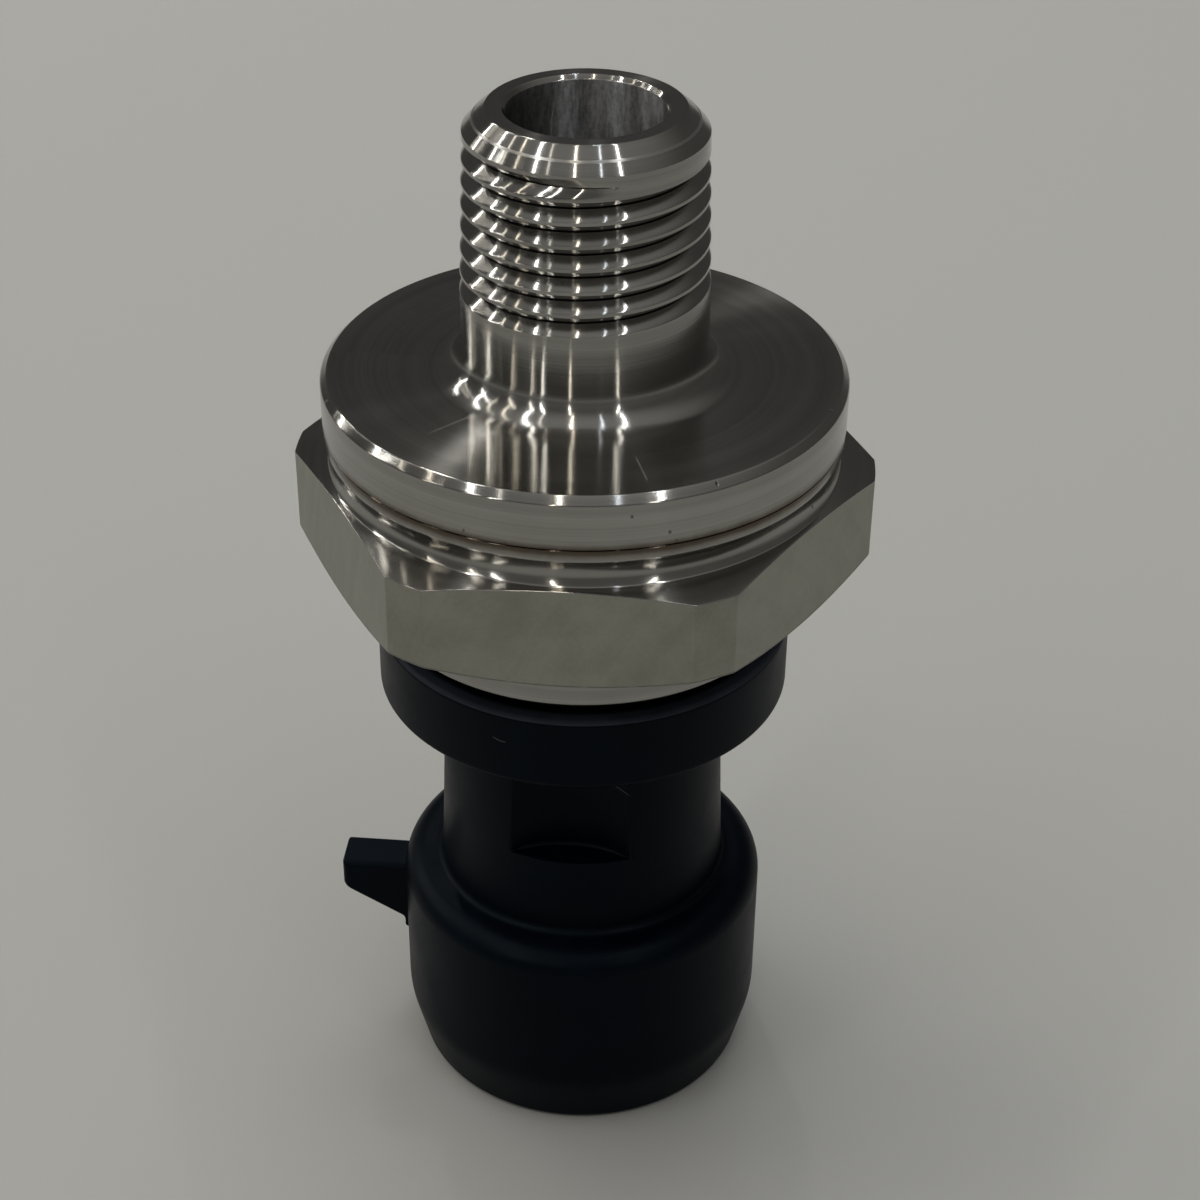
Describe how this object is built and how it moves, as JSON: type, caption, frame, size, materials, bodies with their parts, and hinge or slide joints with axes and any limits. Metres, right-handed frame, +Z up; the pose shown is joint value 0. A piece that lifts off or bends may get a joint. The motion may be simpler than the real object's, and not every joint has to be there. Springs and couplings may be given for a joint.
{
  "type": "pressure sensor",
  "caption": "Upright pressure sensor: taper-threaded steel port on a round disc, hexagon housing, and a black moulded plug socket with a side lock ramp and blade pins.",
  "frame": {"origin": "centre of the plug socket's rim, on the plane the sensor stands on", "axes": "+Z up along the sensor's axis from the socket's rim to the pressure port; the lock ramp points along -X and the neck's pocket faces -Y; two hexagon flats face +Y and -Y"},
  "size_m": [0.0244, 0.022, 0.0468],
  "materials": {
    "port_steel": "fine-turned stainless steel, bright chamfers",
    "housing_steel": "satin stainless steel, drawn hexagon bar",
    "cup_steel": "fine-turned stainless steel",
    "black_plastic": "fine satin glass-filled moulding",
    "carrier_plastic": "plain moulding",
    "silicon": "polished silicon",
    "gold": "bright gold wire",
    "laminate": "green solder mask",
    "ceramic_parts": "ceramic body with tinned ends",
    "black_resin": "moulded resin",
    "tinned_brass": "tin-plated strip",
    "potting_compound": "poured resin",
    "lead_insulation": "silicone insulation",
    "seal_rubber": "moulded rubber"
  },
  "bodies": {
    "root": {"pressure_port": "port_steel", "hex_housing": "housing_steel", "connector_body": "black_plastic", "sensing_cup": "cup_steel", "strain_gauge_left": "silicon", "strain_gauge_right": "silicon", "bond_wire_1": "gold", "bond_wire_2": "gold", "bond_wire_3": "gold", "bond_wire_4": "gold", "board_carrier": "carrier_plastic", "circuit_board": "laminate", "signal_chip": "black_resin", "capacitor_1": "ceramic_parts", "capacitor_2": "ceramic_parts", "capacitor_3": "ceramic_parts", "resistor_1": "black_resin", "resistor_2": "black_resin", "lead_wire_1": "lead_insulation", "lead_wire_2": "lead_insulation", "lead_wire_3": "lead_insulation", "terminal_1": "tinned_brass", "terminal_2": "tinned_brass", "terminal_3": "tinned_brass", "potting_disc": "potting_compound", "body_seal_ring": "seal_rubber"}
  },
  "joints": []
}
